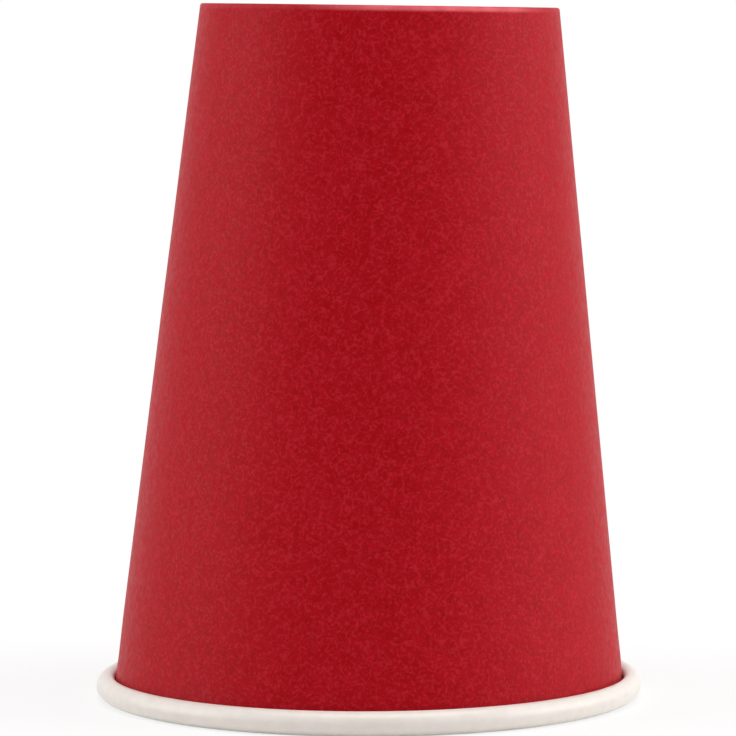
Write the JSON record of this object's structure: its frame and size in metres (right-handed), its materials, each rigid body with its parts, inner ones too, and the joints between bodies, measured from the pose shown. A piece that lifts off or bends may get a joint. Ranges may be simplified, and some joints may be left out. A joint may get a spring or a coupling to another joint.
{
  "type": "paper cup",
  "caption": "Single-wall paper cup with a rolled rim, a lapped side seam and a recessed base, standing upside down on its rim.",
  "frame": {"origin": "centre of the circle on which the rolled rim rests, with the cup upside down as in the picture", "axes": "+Z along the cup's axis, from the mouth up to the standing edge of the base; the lapped seam is on the +Y side, so -Y is the plain front"},
  "size_m": [0.09, 0.09, 0.1137],
  "materials": {
    "sidewall_board": "coated board, red print on the outside, white on the inside and on the rolled rim",
    "base_board": "coated board, unprinted white"
  },
  "bodies": {
    "root": {"sidewall": "sidewall_board", "base_disc": "base_board"}
  },
  "joints": []
}
